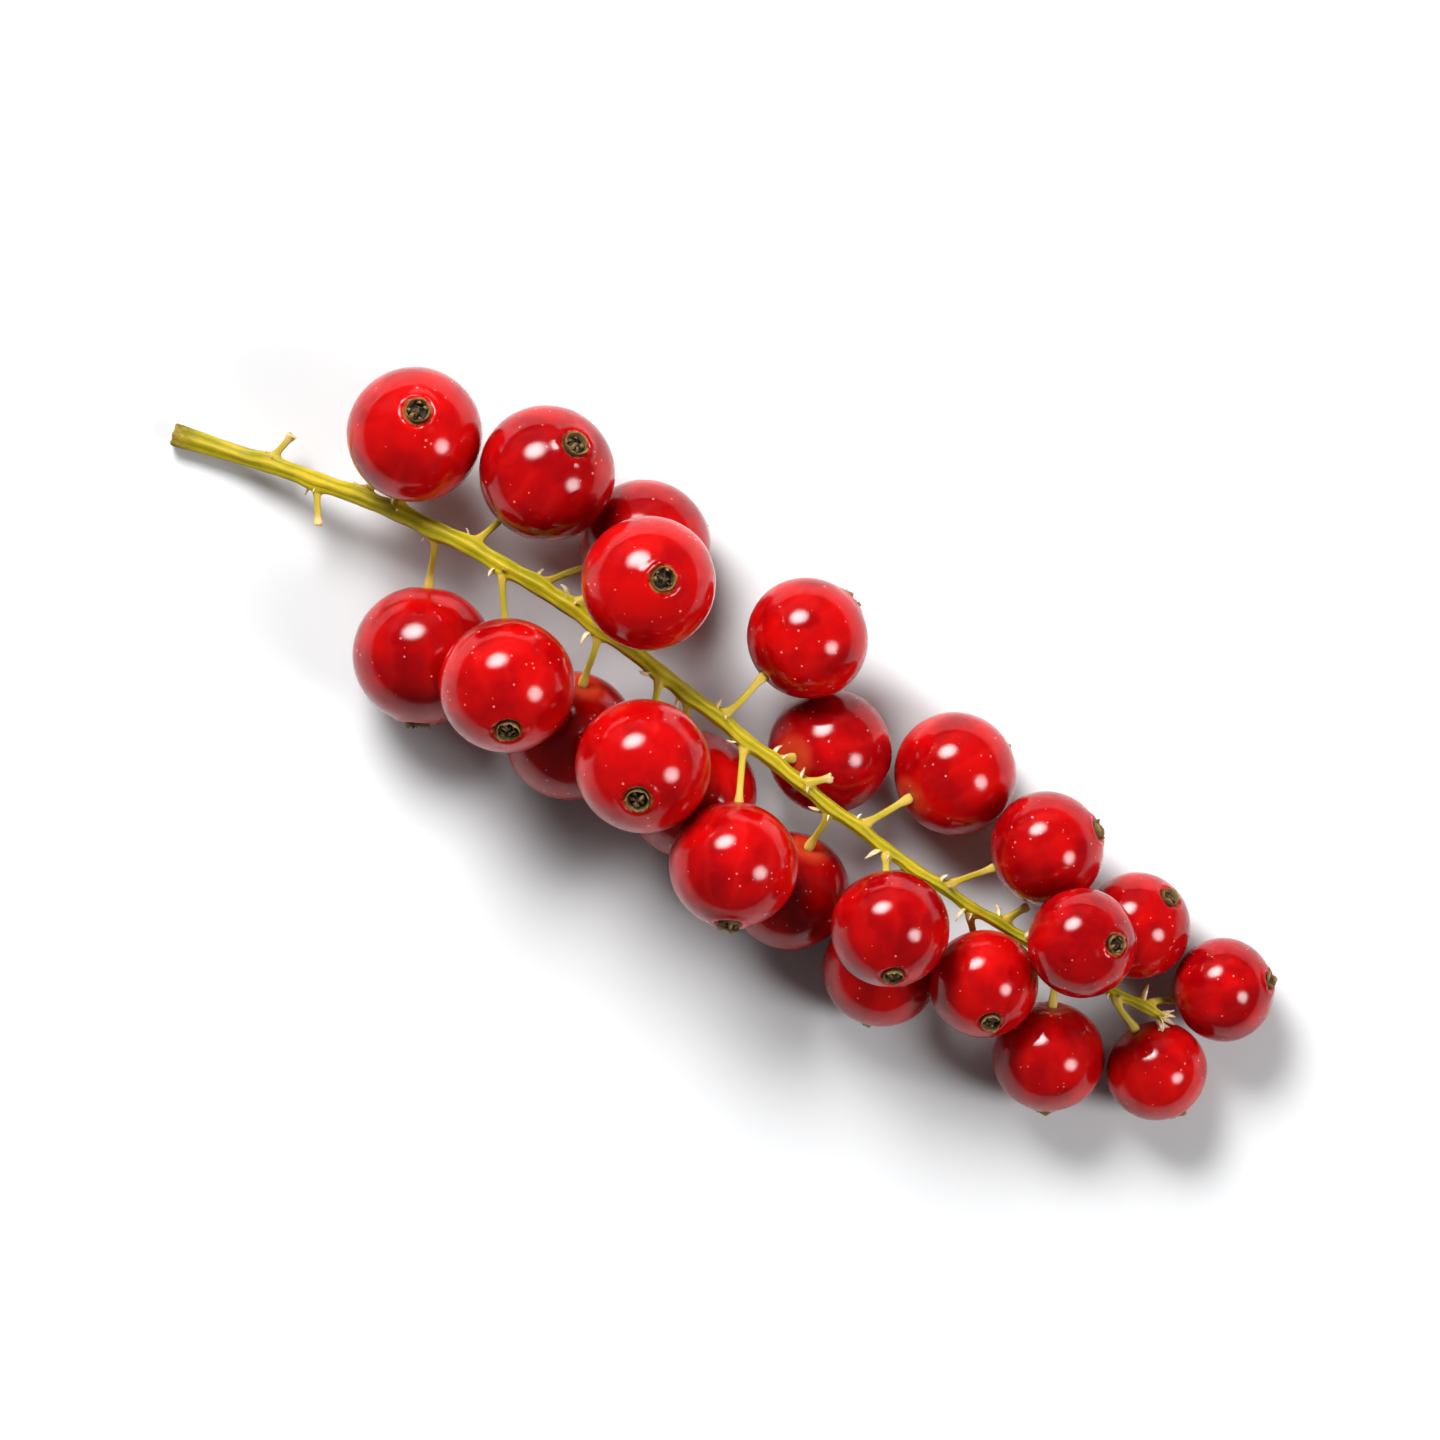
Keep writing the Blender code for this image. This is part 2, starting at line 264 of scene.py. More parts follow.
def grown(name, tree, sizes, start_mesh=None, place=None):
    """Runs a geometry tree once with these sizes and gives the plain mesh piece it makes, in its place."""
    seed_mesh = start_mesh or bpy.data.meshes.new(name + "_start")
    made = bpy.data.objects.new(name + "_growing", seed_mesh)
    bpy.context.scene.collection.objects.link(made)
    step = made.modifiers.new("grow", "NODES")
    step.node_group = tree
    for item in tree.interface.items_tree:
        if item.item_type == "SOCKET" and item.in_out == "INPUT" and item.name in sizes:
            step[item.identifier] = sizes[item.name]
    bpy.context.view_layer.update()
    graph = bpy.context.evaluated_depsgraph_get()
    mesh = bpy.data.meshes.new_from_object(made.evaluated_get(graph))
    made.modifiers.remove(step)
    bpy.data.objects.remove(made)
    mesh.name = name
    if place:
        mesh.transform(place)
    piece = bpy.data.objects.new(name, mesh)
    bpy.context.scene.collection.objects.link(piece)
    return piece


def berry_skin_finish():
    """Clear glossy red skin over juice, with faint end-to-end lines, pale spots that are partly painted
    glints, and a corky pit lip.
    """
    finish, w, shader = new_finish("berry_skin")
    skin = w.add("ShaderNodeAttribute", attribute_name="skin", out="Vector")
    own = w.add("ShaderNodeAttribute", attribute_name="own", out="Fac")
    across = w.add("ShaderNodeSeparateXYZ", (skin,))
    height = across.node.outputs["Z"]
    moved = w.vector("ADD", skin, w.add("ShaderNodeCombineXYZ", (own, w.sum("MULTIPLY", own, 7.3), 0.0)))

    # Lighter, redder clouds where the flesh lies close under the skin, deeper where the seeds crowd.
    cloud = w.add("ShaderNodeTexNoise", {"Vector": moved, "Scale": 1.5, "Detail": 3.0, "Roughness": 0.5})
    ripeness = w.add("ShaderNodeTexWhiteNoise", {"W": own}, noise_dimensions="1D")
    cloud = w.sum("ADD", cloud, w.sum("MULTIPLY", w.sum("SUBTRACT", ripeness, 0.5), 0.22))
    cloud = w.ease(cloud, 0.28, 0.72)
    colour = w.blend(cloud, DEEP_RED, BRIGHT_RED)
    # Fine pale lines from the stalk end to the flower end.
    turn = w.sum("ARCTAN2", across.node.outputs["Y"], across.node.outputs["X"])
    sway = w.add("ShaderNodeTexNoise", {"Vector": moved, "Scale": 3.0, "Detail": 2.0})
    lines = w.sum("SINE", w.sum("ADD", w.sum("MULTIPLY", turn, 12.0), w.sum("MULTIPLY", sway, 5.0)))
    lines = w.sum("MULTIPLY", w.ease(lines, 0.45, 1.0), w.ease(w.sum("ABSOLUTE", height), 0.98, 0.5))
    colour = w.blend(w.sum("MULTIPLY", lines, 0.08), colour, LINE_RED)
    # Tiny pale breathing spots, thinly scattered; their bright pink is partly painted glint as well as spot
    # colour.
    spots_and_glints = w.add("ShaderNodeTexVoronoi", {"Vector": moved, "Scale": 8.5, "Randomness": 1.0})
    size = w.add("ShaderNodeTexWhiteNoise", (spots_and_glints.node.outputs["Position"],))
    size = w.sum("MULTIPLY", w.ease(size, 0.50, 1.0), 0.21)
    spot = w.sum("SUBTRACT", 1.0, w.ease(w.sum("DIVIDE", spots_and_glints, w.sum("ADD", size, 0.0001)), 0.5, 1.0))
    colour = w.blend(w.sum("MULTIPLY", spot, 0.7), colour, SPOT_AND_GLINT_PINK)
    # The pit's lip dries to a thin tan edge, and the skin round the side stalk is a shade paler.
    ragged = w.add("ShaderNodeTexNoise", {"Vector": moved, "Scale": 14.0, "Detail": 3.0})
    edge = w.sum("ADD", height, w.sum("MULTIPLY", w.sum("SUBTRACT", ragged, 0.5), 0.012))
    corky = w.ease(edge, math.cos(PIT_ANGLE + CORK_WIDTH[1]), math.cos(PIT_ANGLE + CORK_WIDTH[0]))
    colour = w.blend(corky, colour, CORK_TAN)
    pale_end = w.ease(height, -math.cos(PALE_END_ANGLE[1]), -math.cos(PALE_END_ANGLE[0]), 0.0, 0.35)
    colour = w.blend(pale_end, colour, STALK_END_RED)

    rough = w.add("ShaderNodeTexNoise", {"Vector": moved, "Scale": 6.0, "Detail": 5.0, "Roughness": 0.7})
    rough = w.ease(rough, 0.35, 0.75, *SKIN_ROUGHNESS)
    rough = w.sum("ADD", rough, w.sum("MULTIPLY", corky, 0.5))
    fine = w.add("ShaderNodeTexNoise", {"Vector": moved, "Scale": 26.0, "Detail": 3.0, "Roughness": 0.6})
    relief = w.sum("ADD", w.sum("MULTIPLY", fine, 0.35), w.sum("MULTIPLY", spot, 0.8))
    bump = w.add("ShaderNodeBump", {"Height": relief, "Strength": 0.18, "Distance": 0.08 * MM})
    w.give(shader, {"Base Color": colour, "Roughness": rough, "Normal": bump})
    w.give(shader, {"IOR": 1.25, "Coat Weight": 0.24, "Coat Roughness": 0.05, "Subsurface Weight": 1.0})
    w.give(shader, {"Subsurface Radius": JUICE_GLOW, "Subsurface Scale": JUICE_DEPTH})
    return finish


def berry_tree(finish):
    """A ball with its rings crowded to its ends, and a dimple, a pit and a puckered lip pressed into them."""
    tree, w, given = shape_tree("berry", {"Radius": 4.5 * MM, "Own": 0.0, "Wobble": 0.012, "Pucker": 0.006})
    ball = {"Segments": BERRY_SEGMENTS, "Rings": BERRY_RINGS, "Radius": 1.0}
    ball = w.add("GeometryNodeMeshUVSphere", ball)
    mapped = w.store(ball, "UVMap", ball.node.outputs["UV Map"], "FLOAT2", "CORNER")
    spot = w.add("ShaderNodeSeparateXYZ", (w.add("GeometryNodeInputPosition"),))
    angle = w.sum("ARCCOSINE", w.sum("MINIMUM", w.sum("MAXIMUM", spot.node.outputs["Z"], -1.0), 1.0))
    turn = w.sum("ARCTAN2", spot.node.outputs["Y"], spot.node.outputs["X"])
    crowd = w.sum("MULTIPLY", w.sum("SINE", w.sum("MULTIPLY", angle, 2.0)), POLE_CROWDING / 2)
    angle = w.sum("SUBTRACT", angle, crowd)
    flat = w.sum("SINE", angle)
    facing_x = w.sum("MULTIPLY", flat, w.sum("COSINE", turn))
    facing_y = w.sum("MULTIPLY", flat, w.sum("SINE", turn))
    facing = w.add("ShaderNodeCombineXYZ", (facing_x, facing_y, w.sum("COSINE", angle)))
    own = w.add("ShaderNodeCombineXYZ", (given["Own"], w.sum("MULTIPLY", given["Own"], 3.1), 0.0))
    moved = w.vector("ADD", facing, own)
    swell = w.add("ShaderNodeTexNoise", {"Vector": moved, "Scale": 0.9, "Detail": 1.0})
    swell = w.sum("MULTIPLY", w.sum("SUBTRACT", swell, 0.5), w.sum("MULTIPLY", given["Wobble"], 2.0))
    # The lip: a low ring round the pit, drawn into small puckers.
    off_lip = w.sum("DIVIDE", w.sum("SUBTRACT", angle, LIP_ANGLE), LIP_WIDTH)
    lip = w.sum("EXPONENT", w.sum("MULTIPLY", w.sum("MULTIPLY", off_lip, off_lip), -1.0))
    creases = w.add("ShaderNodeTexNoise", {"Vector": moved, "Scale": 9.0, "Detail": 2.0})
    creases = w.sum("MULTIPLY", w.sum("SUBTRACT", creases, 0.5), w.sum("MULTIPLY", given["Pucker"], 5.0))
    rise = w.sum("MULTIPLY", lip, w.sum("ADD", creases, LIP_HEIGHT))
    ragged = w.sum("MULTIPLY", creases, 2.0)
    pit = w.ease(w.sum("ADD", angle, ragged), PIT_ANGLE - PIT_EDGE, PIT_ANGLE + PIT_EDGE, -PIT_DEPTH, 0.0)
    far_edge = math.pi - DIMPLE_ANGLE
    dimple = w.ease(angle, far_edge - DIMPLE_EDGE, far_edge + DIMPLE_EDGE, 0.0, -DIMPLE_DEPTH)
    reach = w.sum("ADD", w.sum("ADD", w.sum("ADD", swell, 1.0), rise), w.sum("ADD", pit, dimple))
    place = w.vector("MULTIPLY", w.vector("SCALE", facing, None, None, reach), (1.0, 1.0, BERRY_LENGTH_SHARE))
    place = w.vector("SCALE", place, None, None, given["Radius"])
    marked = w.store(w.store(mapped, "skin", facing, "FLOAT_VECTOR"), "own", given["Own"])
    shaped = w.add("GeometryNodeSetPosition", {"Geometry": marked, "Position": place})
    w.close(w.add("GeometryNodeSetShadeSmooth", (shaped,)), finish)
    return tree


def berry_facts(number):
    """A berry's centre, its radius, and its axis from stalk end to flower end, as the frame has them."""
    low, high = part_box(f"berry_{number:02d}")
    centre = (low + high) / 2
    corners = np.array([corner.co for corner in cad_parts[f"berry_{number:02d}"].data.vertices])
    radius = float(np.linalg.norm(corners - np.array(centre), axis=1).max())
    flower_low, flower_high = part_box(f"dried_flower_{number:02d}")
    return centre, radius, ((flower_low + flower_high) / 2 - centre).normalized()


def upright_at(centre, axis):
    """The placement that sets a piece made round +Z with its base point at centre and its +Z along axis."""
    return Matrix.Translation(centre) @ axis.to_track_quat("Z", "Y").to_matrix().to_4x4()


berry_finish = berry_skin_finish()
berry_shape = berry_tree(berry_finish)
berries = {number: berry_facts(number) for number in range(1, BERRY_COUNT + 1)}
for number, (centre, radius, axis) in berries.items():
    sizes = {"Radius": radius, "Own": 1.7 * number}
    berry = grown(f"currant_{number:02d}", berry_shape, sizes, place=upright_at(centre, axis))
    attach(berry, "root")
    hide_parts(f"berry_{number:02d}")

# ---------------------------------------------------------------- stalk
# The stalk and its side stalks grew as one green piece, ridged from end to end and a little swollen where
# each side stalk leaves. It is brown where it was pinched off the branch, and pale at the end of a side
# stalk that has dropped its berry. Each is drawn round a line of its own, then they are fused in one skin.

CUT_END = Vector((-42.4, -2.2, 0.9)) * MM
STALK_SPAN = 79 * MM
STALK_BOW = 2.6 * MM
STALK_SWAY = 1.7 * MM
STALK_RISE = 8.5 * MM
STALK_FALL = 4.0 * MM
RISE_ENDS = 0.36
FALL_STARTS = 0.5
CUT_END_FLARE = 0.20 * MM
FLARE_ENDS = 0.07
NECK_RADIUS = 0.62 * MM
TIP_RADIUS = 0.32 * MM
TAPER_STARTS = 0.15
SHOOTS = 29
BARE_SHOOTS = (0, 1, 2, 10, 16, 23)
FIRST_SHOOT = 0.085
LAST_SHOOT = 0.98
SHOOT_CROWDING = 0.9
SPIRAL_TURN = math.radians(137.5)
SPIRAL_START = math.radians(-60)
NEAREST_TO_TOP = math.radians(38)
FURTHEST_ROUND = math.radians(128)
SHOOT_LEAN = math.radians(28)
SHOOT_LENGTH = (5.2 * MM, 3.4 * MM)
SHOOT_SPREAD = 0.12
BARE_SHARE = 0.62
BARE_DROOP = 0.25
CURVE_REACH = 0.42
DIMPLE_FLOOR = 0.90
SHOOT_RADIUS = 0.27 * MM
KNOB_SWELL = 0.13 * MM
KNOB_LENGTH = 0.55 * MM
BERRY_KNOB_PLACE = 0.25 * MM
BERRY_KNOB_LENGTH = 0.45 * MM
FOOT_SWELL = 0.5
FOOT_LENGTH = 0.5 * MM
PALE_FOOT_PLACE = 0.6 * MM
PALE_FOOT_LENGTH = 0.55 * MM
PALE_END_STARTS = 0.35
SCAR_LENGTH = 0.7 * MM
NODE_SWELL = 0.12 * MM
NODE_KINK = 0.10 * MM
NODE_LENGTH = 0.9 * MM
BREAK_LENGTH = 2.2 * MM
DEAD_TIP = 0.97
SKIN_STEP = 0.095
STALK_RINGS = 260
SHOOT_RINGS = 30
TUBE_SIDES = 20
RIDGES = 6.0
RIDGE_HEIGHT = 0.038
SIDE_RIDGES = 4.0
SIDE_RIDGE_HEIGHT = 0.022
LUMP_HEIGHT = 0.05
TORN_DEPTH = (0.13, 0.42)
HOLLOW_DEPTH = 0.22
LEAF_GREEN = (0.27, 0.245, 0.004, 1.0)
YELLOW_GREEN = (0.42, 0.325, 0.008, 1.0)
STREAK_OLIVE = (0.15, 0.14, 0.004, 1.0)
GROOVE_SHADE_OLIVE = (0.18, 0.13, 0.005, 1.0)
RIDGE_TAN = (0.52, 0.33, 0.04, 1.0)
LINE_TAN = (0.48, 0.29, 0.035, 1.0)
SIDE_YELLOW = (0.43, 0.32, 0.04, 1.0)
FOOT_TAN = (0.54, 0.34, 0.07, 1.0)
END_STRAW = (0.62, 0.42, 0.12, 1.0)
DARK_BREAK = (0.065, 0.048, 0.008, 1.0)
BROWN_BREAK = (0.21, 0.145, 0.02, 1.0)
SCAR_CREAM = (0.66, 0.46, 0.24, 1.0)
FLECK_BROWN = (0.30, 0.17, 0.03, 1.0)


def smooth(value):
    """0 below 0, 1 above 1, and an easy curve between."""
    value = min(max(value, 0.0), 1.0)
    return value * value * (3 - 2 * value)


def hump(distance, width):
    """1 where distance is 0, falling away over width."""
    return math.exp(-((distance / width) ** 2))


def steady_noise(index, salt):
    """A number from 0 to 1 that looks random and is the same each run."""
    value = math.sin(index * 12.9898 + salt * 78.233) * 43758.5453
    return value - math.floor(value)


def stalk_point(t):
    """The stalk's centreline, from the cut end at t = 0 to the tip at t = 1."""
    bend = STALK_BOW * math.sin(math.pi * t) + STALK_SWAY * math.sin(2 * math.pi * t)
    lift = STALK_RISE * smooth(t / RISE_ENDS) - STALK_FALL * smooth((t - FALL_STARTS) / (1 - FALL_STARTS))
    return CUT_END + Vector((STALK_SPAN * t, bend, lift))


def stalk_radius(t):
    """Widest at the cut end, even along the bare length, finer towards the tip."""
    taper = (NECK_RADIUS - TIP_RADIUS) * smooth((t - TAPER_STARTS) / (1 - TAPER_STARTS))
    return NECK_RADIUS + CUT_END_FLARE * (1 - smooth(t / FLARE_ENDS)) - taper


def stalk_axes(t):
    """The stalk's direction, its side and its upper side at t."""
    along = (stalk_point(t + 0.001) - stalk_point(t - 0.001)).normalized()
    side = along.cross(Vector((0, 0, 1))).normalized()
    return along, side, side.cross(along)


class Shoot:
    """One side stalk: where and which way it leaves the stalk, and its curve to its berry or bare end."""

    def __init__(self, index, number):
        share = index / (SHOOTS - 1)
        self.t = FIRST_SHOOT + (LAST_SHOOT - FIRST_SHOOT) * share**SHOOT_CROWDING
        self.bare = index in BARE_SHOOTS
        self.root = stalk_point(self.t)
        turn = (SPIRAL_START + SPIRAL_TURN * index + math.pi) % (2 * math.pi) - math.pi
        out = NEAREST_TO_TOP + (FURTHEST_ROUND - NEAREST_TO_TOP) * abs(turn) / math.pi
        out = math.copysign(out, turn)
        self.along, side, top = stalk_axes(self.t)
        self.across = math.cos(out) * top + math.sin(out) * side
        self.start = (math.cos(SHOOT_LEAN) * self.across + math.sin(SHOOT_LEAN) * self.along).normalized()
        if self.bare:
            length = SHOOT_LENGTH[0] + (SHOOT_LENGTH[1] - SHOOT_LENGTH[0]) * share
            length *= BARE_SHARE * (1 + SHOOT_SPREAD * (2 * steady_noise(index, 1) - 1))
            self.end = self.root + length * (self.start - BARE_DROOP * Vector((0, 0, 1)))
            arrive = (self.end - self.root).normalized()
        else:
            centre, radius, arrive = berries[number]
            self.end = centre - arrive * DIMPLE_FLOOR * radius
        self.length = (self.end - self.root).length
        self.bends = (self.root, self.root + self.start * self.length * CURVE_REACH)
        self.bends += (self.end - arrive * self.length * CURVE_REACH, self.end)

    def point(self, u):
        v = 1 - u
        first, second, third, last = self.bends
        return v**3 * first + 3 * v * v * u * second + 3 * v * u * u * third + u**3 * last


class Skeleton:
    """Lines with facts at each point, in millimetres, as the start of a geometry tree."""

    def __init__(self):
        self.points, self.edges, self.facts = [], [], {}

    def add(self, point, joined, **facts):
        if joined:
            self.edges.append((len(self.points) - 1, len(self.points)))
        self.points.append(point / MM)
        for name, value in facts.items():
            self.facts.setdefault(name, []).append(value)

    def mesh(self, name):
        made = bpy.data.meshes.new(name)
        made.from_pydata(self.points, self.edges, [])
        for name, values in self.facts.items():
            kind = "FLOAT_VECTOR" if isinstance(values[0], Vector) else "FLOAT"
            field = "vector" if kind == "FLOAT_VECTOR" else "value"
            store = made.attributes.new(name, kind, "POINT")
            store.data.foreach_set(field, np.array(values, float).ravel())
        return made


shoots = []
for index in range(SHOOTS):
    shoots.append(Shoot(index, index + 1 - sum(bare < index for bare in BARE_SHOOTS)))

skeleton = Skeleton()
for ring in range(STALK_RINGS):
    t = ring / (STALK_RINGS - 1)
    near = [hump((t - shoot.t) * STALK_SPAN, NODE_LENGTH) for shoot in shoots]
    kink = sum((shoot.across * NODE_KINK * share for shoot, share in zip(shoots, near)), Vector())
    skeleton.add(
        stalk_point(t) + kink,
        ring > 0,
        thick=(stalk_radius(t) + NODE_SWELL * max(near)) / MM,
        far=t * STALK_SPAN / MM,
        side=0.0,
        node=max(near),
        scar=1 - smooth(t * STALK_SPAN / BREAK_LENGTH),
        tip=smooth((t - DEAD_TIP) / (1 - DEAD_TIP)),
        own=0.0,
    )
for number, shoot in enumerate(shoots, 1):
    for ring in range(SHOOT_RINGS):
        u = ring / (SHOOT_RINGS - 1)
        far = u * shoot.length
        left = shoot.length - far
        knob = hump(left - BERRY_KNOB_PLACE, BERRY_KNOB_LENGTH)
        if shoot.bare:
            knob = smooth(1 - left / KNOB_LENGTH)
        foot = FOOT_SWELL * hump(far - FOOT_LENGTH, FOOT_LENGTH)
        skeleton.add(
            shoot.point(u),
            ring > 0,
            thick=(SHOOT_RADIUS * (1 + foot) + KNOB_SWELL * knob) / MM,
            far=far / MM,
            side=1.0,
            node=hump(far - PALE_FOOT_PLACE, PALE_FOOT_LENGTH),
            scar=smooth(1 - left / SCAR_LENGTH) if shoot.bare else 0.0,
            tip=smooth((u - PALE_END_STARTS) / (1 - PALE_END_STARTS)),
            own=float(number),
        )


def tube_tree():
    """A closed tube round every line, which keeps its line's facts and each point's place round the tube."""
    tree, w, given = shape_tree("stalk_tubes", {"Sides": TUBE_SIDES})
    line = w.add("GeometryNodeMeshToCurve", (given["Geometry"],))
    circle = w.add("GeometryNodeCurvePrimitiveCircle", {"Resolution": given["Sides"], "Radius": 1.0})
    circle = w.store(circle, "ring", w.add("GeometryNodeInputPosition"), "FLOAT_VECTOR")
    drawn = {"Curve": line, "Profile Curve": circle, "Scale": w.fact("thick"), "Fill Caps": True}
    w.close(w.add("GeometryNodeCurveToMesh", drawn))
    return tree


def stalk_skin_tree(tubes, finish):
    """Gives the fused skin its tubes' facts, softens the joins, and adds the ridges, lumps and torn ends."""
    sizes = {"Ridges": RIDGES, "Ridge height": RIDGE_HEIGHT, "Lump": LUMP_HEIGHT}
    sizes.update({"Side ridges": SIDE_RIDGES, "Side ridge height": SIDE_RIDGE_HEIGHT})
    tree, w, given = shape_tree("stalk_skin", sizes)
    source = w.add("GeometryNodeObjectInfo", {"Object": tubes}, out="Geometry")
    skin = given["Geometry"]
    for name in ("ring", "far", "side", "node", "scar", "tip", "own"):
        kind = "FLOAT_VECTOR" if name == "ring" else "FLOAT"
        wanted = {"Mesh": source, "Value": w.fact(name, kind)}
        skin = w.store(skin, name, w.add("GeometryNodeSampleNearestSurface", wanted, data_type=kind), kind)
    position = w.add("GeometryNodeInputPosition")
    weight = w.sum("ADD", w.sum("MULTIPLY", w.fact("node"), 0.8), 0.2)
    rounds = {"Value": position, "Iterations": 9, "Weight": weight}
    soft = w.add("GeometryNodeBlurAttribute", rounds, data_type="FLOAT_VECTOR")
    skin = w.add("GeometryNodeSetPosition", {"Geometry": skin, "Position": soft})

    ring = w.add("ShaderNodeSeparateXYZ", (w.fact("ring", "FLOAT_VECTOR"),))
    turn = w.sum("ARCTAN2", ring.node.outputs["Y"], ring.node.outputs["X"])
    side, far, scar = w.fact("side"), w.fact("far"), w.fact("scar")
    slow = w.add("ShaderNodeTexNoise", {"Vector": position, "Scale": 0.22, "Detail": 1.0})
    twist = w.sum("ADD", w.sum("MULTIPLY", far, 0.09), w.sum("MULTIPLY", slow, 5.0))
    main = w.sum("COSINE", w.sum("ADD", w.sum("MULTIPLY", turn, given["Ridges"]), twist))
    main = w.sum("MULTIPLY", main, given["Ridge height"])
    minor = w.sum("COSINE", w.sum("ADD", w.sum("MULTIPLY", turn, given["Side ridges"]), twist))
    minor = w.sum("MULTIPLY", minor, given["Side ridge height"])
    main = w.sum("MULTIPLY", main, w.sum("SUBTRACT", 1.0, side))
    ridge = w.sum("ADD", main, w.sum("MULTIPLY", minor, side))
    lump = w.add("ShaderNodeTexNoise", {"Vector": position, "Scale": 0.9, "Detail": 2.0})
    lump = w.sum("MULTIPLY", w.sum("SUBTRACT", lump, 0.5), given["Lump"])
    torn = w.add("ShaderNodeTexNoise", {"Vector": position, "Scale": 3.2, "Detail": 3.0})
    torn = w.sum("MULTIPLY", w.sum("SUBTRACT", torn, 0.5), scar)
    torn = w.sum("MULTIPLY", torn, w.ease(side, 0.0, 1.0, *TORN_DEPTH))
    inside = w.vector("LENGTH", w.fact("ring", "FLOAT_VECTOR"), out="Value")
    hollow = w.sum("MULTIPLY", w.ease(inside, 0.85, 0.30, 0.0, -HOLLOW_DEPTH), w.ease(scar, 0.5, 0.9))
    lift = w.sum("ADD", w.sum("ADD", ridge, lump), w.sum("ADD", torn, hollow))
    skin = w.store(skin, "ridge", ridge)
    offset = w.vector("SCALE", w.add("GeometryNodeInputNormal"), None, None, lift)
    skin = w.add("GeometryNodeSetPosition", {"Geometry": skin, "Offset": offset})
    skin = w.add("GeometryNodeTransform", {"Geometry": skin, "Scale": (MM, MM, MM)})
    w.close(w.add("GeometryNodeSetShadeSmooth", (skin,)), finish)
    return tree


def stalk_finish():
    """Yellow-green skin with tan ridges, grooves darkened to olive as painted shade, a brown break at the cut
    end and pale scars.
    """
    finish, w, shader = new_finish("stalk_skin")
    ring = w.add("ShaderNodeAttribute", attribute_name="ring", out="Vector")
    ridge, side, far, node, scar, tip, own = (
        w.add("ShaderNodeAttribute", attribute_name=name, out="Fac")
        for name in ("ridge", "side", "far", "node", "scar", "tip", "own")
    )
    drawn = w.add("ShaderNodeCombineXYZ", (w.sum("MULTIPLY", own, 3.7), 0.0, w.sum("MULTIPLY", far, 0.10)))
    drawn = w.vector("ADD", ring, drawn)
    streak = w.add("ShaderNodeTexNoise", {"Vector": drawn, "Scale": 3.2, "Detail": 4.0, "Roughness": 0.65})
    even = w.vector("ADD", ring, w.add("ShaderNodeCombineXYZ", (own, 0.0, w.sum("MULTIPLY", far, 0.9))))
    patch = w.add("ShaderNodeTexNoise", {"Vector": even, "Scale": 0.55, "Detail": 2.0})

    green = w.blend(w.ease(patch, 0.35, 0.68), LEAF_GREEN, YELLOW_GREEN)
    green = w.blend(w.ease(streak, 0.50, 0.30, 0.0, 0.55), green, STREAK_OLIVE)
    high = w.ease(ridge, 0.009, RIDGE_HEIGHT)
    # Painted shade: the grooves between the ridges are blended towards a dark olive.
    low = w.ease(ridge, -0.014, -RIDGE_HEIGHT, 0.0, 0.5)
    colour = w.blend(w.sum("MULTIPLY", high, 0.5), green, RIDGE_TAN)
    colour = w.blend(low, colour, GROOVE_SHADE_OLIVE)
    colour = w.blend(w.ease(streak, 0.56, 0.72, 0.0, 0.6), colour, LINE_TAN)
    # Side stalks are yellower, and palest at their swollen foot and at their end.
    colour = w.blend(w.sum("MULTIPLY", side, 0.45), colour, SIDE_YELLOW)
    colour = w.blend(w.sum("MULTIPLY", w.sum("MULTIPLY", node, side), 0.5), colour, FOOT_TAN)
    end = w.sum("MULTIPLY", tip, w.sum("ADD", w.sum("MULTIPLY", side, 0.35), 0.15))
    colour = w.blend(end, colour, END_STRAW)
    # The break at the cut end is brown, the scars where berries dropped off are pale, and both are speckled.
    brown = w.blend(w.ease(patch, 0.40, 0.60), DARK_BREAK, BROWN_BREAK)
    pale = w.blend(side, brown, SCAR_CREAM)
    specks = w.add("ShaderNodeTexNoise", {"Vector": even, "Scale": 4.5, "Detail": 3.0})
    colour = w.blend(w.sum("MULTIPLY", scar, w.ease(specks, 0.30, 0.55, 0.45, 1.0)), colour, pale)
    colour = w.blend(w.ease(specks, 0.66, 0.76, 0.0, 0.5), colour, FLECK_BROWN)

    rough = w.sum("ADD", w.ease(streak, 0.3, 0.7, 0.34, 0.52), w.sum("MULTIPLY", scar, 0.3))
    relief = w.sum("ADD", w.sum("MULTIPLY", streak, 0.8), w.sum("MULTIPLY", specks, 0.4))
    bump = w.add("ShaderNodeBump", {"Height": relief, "Strength": 0.45, "Distance": 0.1 * MM})
    w.give(shader, {"Base Color": colour, "Roughness": rough, "Normal": bump})
    w.give(shader, {"IOR": 1.21, "Subsurface Weight": 0.35})
    w.give(shader, {"Subsurface Radius": (1.0, 0.8, 0.15), "Subsurface Scale": 0.4 * MM})
    return finish


tubes = grown("stalk_tubes", tube_tree(), {}, skeleton.mesh("stalk_lines"))
fused = bpy.data.objects.new("stalk_fusing", tubes.data.copy())
bpy.context.scene.collection.objects.link(fused)
fuse = fused.modifiers.new("fuse", "REMESH")
fuse.mode = "VOXEL"
fuse.voxel_size = SKIN_STEP
bpy.context.view_layer.update()
one_skin = bpy.data.meshes.new_from_object(fused.evaluated_get(bpy.context.evaluated_depsgraph_get()))
bpy.data.objects.remove(fused)
stalk_piece = grown("green_stalk", stalk_skin_tree(tubes, stalk_finish()), {}, one_skin)
bpy.data.objects.remove(tubes)
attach(stalk_piece, "root")
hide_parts("stalk")

# ---------------------------------------------------------------- scale leaves
# A small dry scale leaf sits under each side stalk, often with thinner ones beside it, and a tuft of them
# closes the tip of the stalk, where its last buds died. They are pointed, cupped and papery, each curls its
# own way, and they grow out of the stalk's skin.

